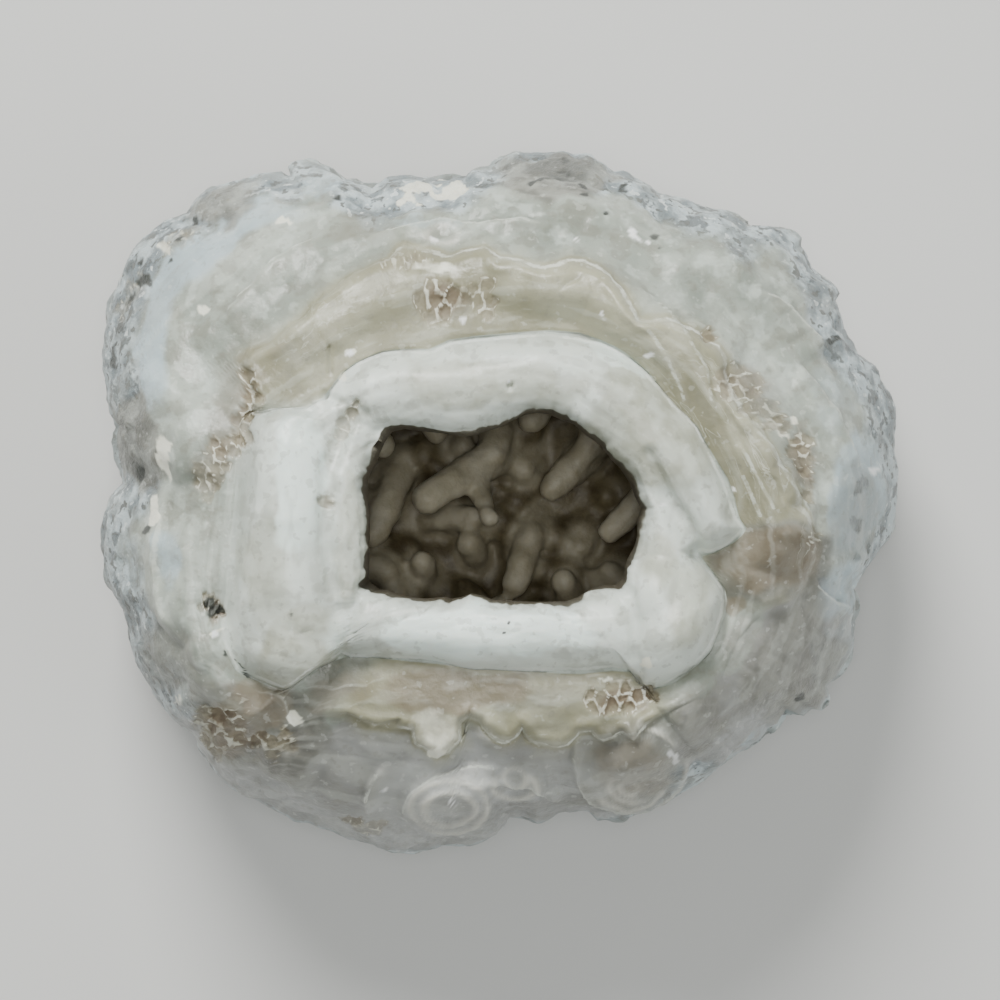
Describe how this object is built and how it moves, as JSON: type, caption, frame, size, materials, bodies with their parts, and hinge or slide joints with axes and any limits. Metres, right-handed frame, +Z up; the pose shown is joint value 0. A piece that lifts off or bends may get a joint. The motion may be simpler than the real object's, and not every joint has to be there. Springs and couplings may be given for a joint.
{
  "type": "hollow chalcedony nodule",
  "caption": "Palm-sized hollow nodule of milky chalcedony, mouth up on a flat broken base, with thick smooth white rolls round the opening and stubby fingers inside.",
  "frame": {"origin": "middle of the bounding box's bottom face, on the flat broken base", "axes": "+Z up out of the mouth, +X along the nodule's greatest width, to the right in the picture; +Y towards the picture's top"},
  "size_m": [0.08, 0.0706, 0.046],
  "materials": {
    "milky_chalcedony": "waxy, milky and slightly translucent, white on the rolls, blue-grey at the rim, beige and brown in the recesses",
    "dusky_chalcedony": "waxy grey-brown fingers over a dark brown floor"
  },
  "bodies": {
    "root": {"nodule": "milky_chalcedony", "finger_crust": "dusky_chalcedony"}
  },
  "joints": []
}
